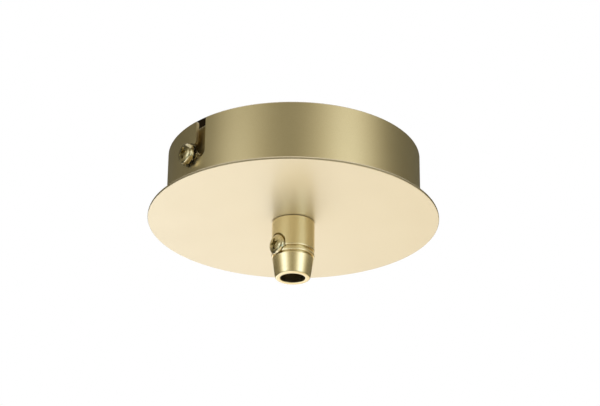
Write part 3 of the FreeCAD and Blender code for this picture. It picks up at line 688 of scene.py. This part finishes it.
def screw_blank(length):
    """Turn a screw's core and its rounded head, with the head's underside at height 0."""
    crown = [(HEAD_RADIUS * math.cos(turn) ** CROWN_SPREAD,
              HEAD_SIDE + (HEAD_HEIGHT - HEAD_SIDE) * math.sin(turn) ** CROWN_RISE)
             for turn in (math.radians(degrees) for degrees in range(0, 90, CROWN_STEP))]
    return lathe("screw_blank", [
        (0, -length), (CORE_RADIUS - TIP_CHAMFER / 2, -length), (CORE_RADIUS, TIP_CHAMFER - length),
        (CORE_RADIUS, 0), (HEAD_RADIUS - HEAD_EDGE, 0), (HEAD_RADIUS, HEAD_EDGE), *crown, (0, HEAD_HEIGHT)])


NICKEL = bright_nickel()
for node, outward, body in SCREWS:
    low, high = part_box(node)
    shank = abs((Vector(high) - Vector(low)).dot(Vector(outward))) / MM - HEAD_HEIGHT
    screw = cut_by(screw_blank(shank), cross_punch())
    screw = grow(thread, screw, core=CORE_RADIUS, crest=CREST_RADIUS, pitch=SCREW_PITCH,
                 turns=(shank - TIP_CHAMFER) / SCREW_PITCH, foot=TIP_CHAMFER / 2 - shank, finish=NICKEL)
    add_piece(f"{node}_piece", screw, seat(node, outward, HEAD_HEIGHT), NICKEL, body, "nickel_plate", node)

# Small lock washers: stamped spring steel rings whose teeth are twisted to bite.
# Hardening leaves them dark under a thin nickel plate that shines only on the worn high spots.
# One sits under each side screw's head and one under the earth terminal's cup.
SPRING_DARK = (0.05, 0.04, 0.02, 1)
SPRING_WORN = (0.42, 0.35, 0.22, 1)
SPRING_WEAR = 0.45, 0.75
SPRING_ROUGHNESS = 0.40, 0.22
SMALL_WASHER = {"bore": 2.15, "root": 3.1, "tip": 4.0, "thickness": 0.5, "width": 1.3, "teeth": 10}
LOCK_WASHERS = (("side_lock_washer_left", (-1, 0, 0), "left_washer"),
                ("side_lock_washer_right", (1, 0, 0), "right_washer"),
                ("earth_lock_washer", (0, 0, -1), "bracket"))


def dark_spring_steel():
    """Hardened spring steel with a worn bright skin."""
    finish, tree, shader = start_finish("dark_spring_steel", 1.0)
    wear = mottle(tree, FORMING_MARKS_PER_M)
    tree.links.new(between(tree, wear, SPRING_DARK, SPRING_WORN, SPRING_WEAR), shader.inputs["Base Color"])
    tree.links.new(spread(tree, wear, *SPRING_ROUGHNESS), shader.inputs["Roughness"])
    return finish


SPRING_STEEL = dark_spring_steel()
for node, outward, body in LOCK_WASHERS:
    toothed_washer(node, outward, body, "nickel_plate", SPRING_STEEL, **SMALL_WASHER)

# Earth cup washer: pressed brass, which holds the wire's strands under the earth screw.
# Its rim is rolled up round the strands, and the brass is a little tarnished.
BRASS_DARK = (0.60, 0.42, 0.16, 1)
BRASS_LIGHT = (0.80, 0.60, 0.28, 1)
BRASS_ROUGHNESS = 0.22, 0.38
TARNISH_PER_M = 500
CUP_BORE = 2.15
CUP_RADIUS = 5.0
CUP_THICKNESS = 0.6
CUP_LIP = 0.8
CUP_ROUND = 0.3


def pressed_brass():
    """Plain brass, a little tarnished."""
    finish, tree, shader = start_finish("pressed_brass", 1.0)
    tarnish = mottle(tree, TARNISH_PER_M, detail=4.0)
    tree.links.new(between(tree, tarnish, BRASS_DARK, BRASS_LIGHT), shader.inputs["Base Color"])
    tree.links.new(spread(tree, tarnish, *BRASS_ROUGHNESS), shader.inputs["Roughness"])
    return finish


BRASS = pressed_brass()
inside = CUP_RADIUS - CUP_THICKNESS
lip_round = CUP_ROUND / 2
cup = lathe("earth_cup", [
    (CUP_BORE, -CUP_THICKNESS), (CUP_BORE, 0), (inside - CUP_ROUND, 0), (inside, CUP_ROUND),
    (inside, CUP_LIP - lip_round), (inside + lip_round, CUP_LIP), (CUP_RADIUS - lip_round, CUP_LIP),
    (CUP_RADIUS, CUP_LIP - lip_round), (CUP_RADIUS, CUP_ROUND - CUP_THICKNESS),
    (CUP_RADIUS - CUP_ROUND, -CUP_THICKNESS)])
add_piece("earth_cup", cup, seat("earth_cup_washer", (0, 0, 1), CUP_LIP), BRASS, "bracket", "brass",
          "earth_cup_washer")

# Floor and surround: a floor of matt white paper far below the cover, in a white room.
# The paper is bright and cool on the left, and dim and warm on the right, which shows only in reflections.
# Distances on the stage are in metres.
CAMERA_SIDE = math.radians(-38.3)
FLOOR_LEVEL = -0.95
FLOOR_HALF = 6.0
FLOOR_SHADE = (0.8, 0.8, 0.8, 1)
PAPER_LEFT = (0.845, 0.865, 0.93, 1)
PAPER_RIGHT = (0.450, 0.375, 0.224, 1)
PAPER_CHANGE = 0.45, 0.55
PAPER_GLOW = 1.90
SURROUND_SHADE = (1, 1, 1, 1)
SURROUND_LIGHT = 0.9
SURROUND_SEEN = 1.0


def bare_material(name):
    """Make a material without nodes and return it with its tree."""
    made = bpy.data.materials.new(name)
    made.use_nodes = True
    made.node_tree.nodes.clear()
    return made, made.node_tree


def seen_directly(tree):
    """Return 1 for camera, glossy and transmission rays."""
    path = step(tree, "ShaderNodeLightPath").outputs
    seen = worked(tree, "MAXIMUM", path["Is Camera Ray"], path["Is Glossy Ray"])
    return worked(tree, "MAXIMUM", seen, path["Is Transmission Ray"])


def mixed_light(tree, factor, first, second):
    """Mix two shaders by a factor."""
    return step(tree, "ShaderNodeMixShader", {"Fac": factor, 1: first, 2: second}).outputs["Shader"]


def floor_paper():
    """Matt studio paper: white to the eye, and shaded from left to right in reflections."""
    made, tree = bare_material("floor_paper")
    matt = step(tree, "ShaderNodeBsdfDiffuse", {"Color": FLOOR_SHADE}).outputs["BSDF"]
    white = step(tree, "ShaderNodeEmission").outputs["Emission"]
    spot = step(tree, "ShaderNodeTexCoord")
    apart = step(tree, "ShaderNodeSeparateXYZ", {"Vector": spot.outputs["Object"]})
    across = step(tree, "ShaderNodeMapRange", {
        "Value": apart.outputs["X"], "From Min": -FLOOR_HALF, "From Max": FLOOR_HALF})
    shade = between(tree, across.outputs["Result"], PAPER_LEFT, PAPER_RIGHT, PAPER_CHANGE, "B_SPLINE")
    shaded = step(tree, "ShaderNodeEmission", {"Color": shade, "Strength": PAPER_GLOW}).outputs["Emission"]
    in_mirror = step(tree, "ShaderNodeLightPath").outputs["Is Glossy Ray"]
    bright = mixed_light(tree, in_mirror, white, shaded)
    step(tree, "ShaderNodeOutputMaterial", {"Surface": mixed_light(tree, seen_directly(tree), matt, bright)})
    return made


def stage_mesh(name, corners, faces, material):
    """Make a stage object from plain faces."""
    mesh = bpy.data.meshes.new(name)
    mesh.from_pydata(corners, [], faces)
    mesh.materials.append(material)
    made = bpy.data.objects.new(name, mesh)
    bpy.context.scene.collection.objects.link(made)
    return made


floor = stage_mesh("floor", [(-FLOOR_HALF, -FLOOR_HALF, 0), (FLOOR_HALF, -FLOOR_HALF, 0),
                             (FLOOR_HALF, FLOOR_HALF, 0), (-FLOOR_HALF, FLOOR_HALF, 0)],
                   [(0, 1, 2, 3)], floor_paper())
floor.location.z = FLOOR_LEVEL
floor.rotation_euler.z = CAMERA_SIDE

world = bpy.data.worlds.new("surround")
world.use_nodes = True
bpy.context.scene.world = world
surround = world.node_tree.nodes["Background"]
surround.inputs["Color"].default_value = SURROUND_SHADE
brightness = step(world.node_tree, "ShaderNodeMapRange", {
    "Value": seen_directly(world.node_tree), "To Min": SURROUND_LIGHT, "To Max": SURROUND_SEEN})
world.node_tree.links.new(brightness.outputs["Result"], surround.inputs["Strength"])

# Ceiling card: a dark disc that lies on the drum's rim, where the ceiling is when the canopy is up; its
# black is painted shade, standing for the ceiling in deep shade inside the canopy.
# It shows only from below and only to the eye, so it neither shades nor tints the cover.
CEILING_PAINTED_SHADE = (0.012, 0.008, 0.004, 1)
CEILING_GAP = 0.2
CEILING_CORNERS = 96


def painted_shade_black():
    """Painted shade: plain black from below and clear from above."""
    made, tree = bare_material("ceiling_painted_shade_card")
    from_above = step(tree, "ShaderNodeNewGeometry").outputs["Backfacing"]
    dark = step(tree, "ShaderNodeEmission", {"Color": CEILING_PAINTED_SHADE}).outputs["Emission"]
    clear = step(tree, "ShaderNodeBsdfTransparent").outputs["BSDF"]
    step(tree, "ShaderNodeOutputMaterial", {"Surface": mixed_light(tree, from_above, dark, clear)})
    return made


rim_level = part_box("side_ring")[1][2] + CEILING_GAP * MM
rim_radius = (drum_radius - DRUM_WALL / 2) * MM
rim_turns = [math.tau * i / CEILING_CORNERS for i in range(CEILING_CORNERS)]
rim = [(rim_radius * math.cos(turn), -rim_radius * math.sin(turn), rim_level) for turn in rim_turns]
card = stage_mesh("ceiling_painted_shade_card", rim, [tuple(range(CEILING_CORNERS))], painted_shade_black())
card.visible_diffuse = card.visible_glossy = card.visible_transmission = card.visible_shadow = False

# Curtain: a curved cloth round the stage, which at the back ends just above the cover's level.
# It is dim and warm, with soft patches of cooler light beside the camera, and is seen only in reflections.
CURTAIN_RADIUS = 1.25
CURTAIN_PANELS = 120
CURTAIN_ROWS = 40
CURTAIN_TOP = math.radians(50)
CURTAIN_BACK_GAP = 148
CURTAIN_GAP_BLEND = 3
CURTAIN_FRONT_FOOT = math.radians(-36)
CURTAIN_BACK_FOOT = math.radians(4)
CURTAIN_SHADE = 0.144
CURTAIN_FADE_PER_DEGREE = 0.00144
CLOTH_WARM = (1.0, 0.894, 0.565)
CLOTH_COOLING = (-0.12, 0.0, 0.275)
CLOTH_LOW_LOSS = (0.46, 0.34, 0.25)
COOL_GLOW = 1.2
COOLEST = 1.6
LOW_FROM = -4
LOW_SPAN = 20
CARD_SHADE = 0.075
CARD_WIDTH = 40
HAZE_SHADE = 0.11
HAZE_LIFT = 4
HAZE_WIDTH = 12
GLOWS = ((-50, -2, 1.1, 26, 20), (47, 2, 1.2, 26, 22), (-50, 5, 0.95, 20, 12), (47, 5, 0.75, 22, 12),
         (-47, 26, 0.2, 26, 12), (52, 26, 0.38, 33, 12), (-44, -26, 0.9, 15, 12), (50, -26, 2.3, 22, 12))
DIM_SIDE = 125, -26, 0.75, 25, 12


def bell(value, middle, width):
    """Fall off smoothly from 1 on both sides of a middle."""
    return math.exp(-((value - middle) / width) ** 2)


def patch(bearing, lift, middle, level, strength, wide, tall):
    """Give what a soft patch of a strength, a width and a height adds at a bearing and a lift."""
    return strength * bell(bearing, middle, wide) * bell(lift, level, tall)


def curtain_glow(bearing, lift):
    """Give the curtain's brightness at a bearing from the camera's side and a lift, in degrees."""
    shade = CURTAIN_SHADE - CURTAIN_FADE_PER_DEGREE * lift
    shade += CARD_SHADE * bell(bearing, 0, CARD_WIDTH) + HAZE_SHADE * bell(lift, HAZE_LIFT, HAZE_WIDTH)
    shade += sum(patch(bearing, lift, *glow) for glow in GLOWS)
    return shade * (1 - patch(abs(bearing), lift, *DIM_SIDE))


def curtain_tint(glow, lift):
    """Give the curtain's colour: warm where it is dim, and cooler where it is bright or low."""
    bright = min(glow / COOL_GLOW, COOLEST)
    low = min(max((LOW_FROM - lift) / LOW_SPAN, 0), 1)
    return [(warm + bright * cooling) * (1 - low * loss)
            for warm, cooling, loss in zip(CLOTH_WARM, CLOTH_COOLING, CLOTH_LOW_LOSS)]


def curtain():
    """Hang the curtain, with the light on it kept as a colour at each corner of its mesh."""
    corners, colours = [], []
    for i in range(CURTAIN_PANELS + 1):
        bearing = -180 + 360 * i / CURTAIN_PANELS
        front = 1 / (1 + math.exp((abs(bearing) - CURTAIN_BACK_GAP) / CURTAIN_GAP_BLEND))
        foot = CURTAIN_BACK_FOOT + (CURTAIN_FRONT_FOOT - CURTAIN_BACK_FOOT) * front
        side = CAMERA_SIDE + math.radians(bearing)
        for j in range(CURTAIN_ROWS + 1):
            lift = foot + (CURTAIN_TOP - foot) * j / CURTAIN_ROWS
            corners.append((CURTAIN_RADIUS * math.sin(side), -CURTAIN_RADIUS * math.cos(side),
                            CURTAIN_RADIUS * math.tan(lift)))
            glow = curtain_glow(bearing, math.degrees(lift))
            colours.extend(glow * shade for shade in curtain_tint(glow, math.degrees(lift)))
            colours.append(1.0)
    span = CURTAIN_ROWS + 1
    faces = [(i * span + j, i * span + j + 1, (i + 1) * span + j + 1, (i + 1) * span + j)
             for i in range(CURTAIN_PANELS) for j in range(CURTAIN_ROWS)]
    cloth, tree = bare_material("curtain")
    colour = step(tree, "ShaderNodeAttribute", attribute_name="glow").outputs["Color"]
    lit = step(tree, "ShaderNodeEmission", {"Color": colour})
    step(tree, "ShaderNodeOutputMaterial", {"Surface": lit.outputs["Emission"]})
    hung = stage_mesh("curtain", corners, faces, cloth)
    hung.data.attributes.new("glow", "FLOAT_COLOR", "POINT").data.foreach_set("color", colours)
    hung.visible_camera = hung.visible_shadow = False


curtain()

# Soft boxes: one on each side of the camera, level with the cover and turned to it.
# The right one is a little stronger and higher, and neither shows in reflections.
BOX_DISTANCE = 1.15
BOX_WIDTH = 0.5
BOX_HEIGHT = 0.7
BOX_AIM = Vector((0, 0, -0.02))
SOFT_BOXES = {"left_soft_box": (-52, 0, 1.0), "right_soft_box": (46, 4, 1.3)}


def toward(side, lift):
    """Give the direction of a bearing and a lift from the object's middle."""
    return Vector((math.sin(side) * math.cos(lift), -math.cos(side) * math.cos(lift), math.sin(lift)))


for name, (bearing, lift, watts) in SOFT_BOXES.items():
    lamp = bpy.data.lights.new(name, "AREA")
    lamp.shape = "RECTANGLE"
    lamp.size, lamp.size_y = BOX_WIDTH, BOX_HEIGHT
    lamp.energy = watts
    box = bpy.data.objects.new(name, lamp)
    bpy.context.scene.collection.objects.link(box)
    box.location = toward(CAMERA_SIDE + math.radians(bearing), math.radians(lift)) * BOX_DISTANCE
    box.rotation_euler = (BOX_AIM - box.location).to_track_quat("-Z", "Y").to_euler()
    box.visible_camera = box.visible_glossy = False

# Camera: it stands below the cover, to the left of its front, and looks up at the plate's middle.
# A small yaw, pitch and roll place the object in the picture.
CAMERA_LIFT = math.radians(-24.08)
CAMERA_DISTANCE = 0.6348
CAMERA_YAW = math.radians(0.201)
CAMERA_PITCH = math.radians(0.622)
CAMERA_ROLL = math.radians(-0.645)
FOCAL_PIXELS = 1847.1
IMAGE_WIDTH = 600
SENSOR_WIDTH = 36.0

camera = bpy.data.cameras.new("camera")
camera.sensor_width = SENSOR_WIDTH
camera.lens = FOCAL_PIXELS * SENSOR_WIDTH / IMAGE_WIDTH
shot = bpy.data.objects.new("camera", camera)
bpy.context.scene.collection.objects.link(shot)
back = toward(CAMERA_SIDE, CAMERA_LIFT)
right = Vector((math.cos(CAMERA_SIDE), math.sin(CAMERA_SIDE), 0))
facing = Matrix((right, back.cross(right), back)).transposed()
tilt = (Matrix.Rotation(-CAMERA_YAW, 3, "Y") @ Matrix.Rotation(CAMERA_PITCH, 3, "X")
        @ Matrix.Rotation(-CAMERA_ROLL, 3, "Z"))
plate_middle = Vector((0, 0, plate_front * MM))
shot.matrix_world = Matrix.Translation(plate_middle + back * CAMERA_DISTANCE) @ (facing @ tilt).to_4x4()
bpy.context.scene.camera = shot
bpy.context.scene.view_settings.view_transform = "Standard"
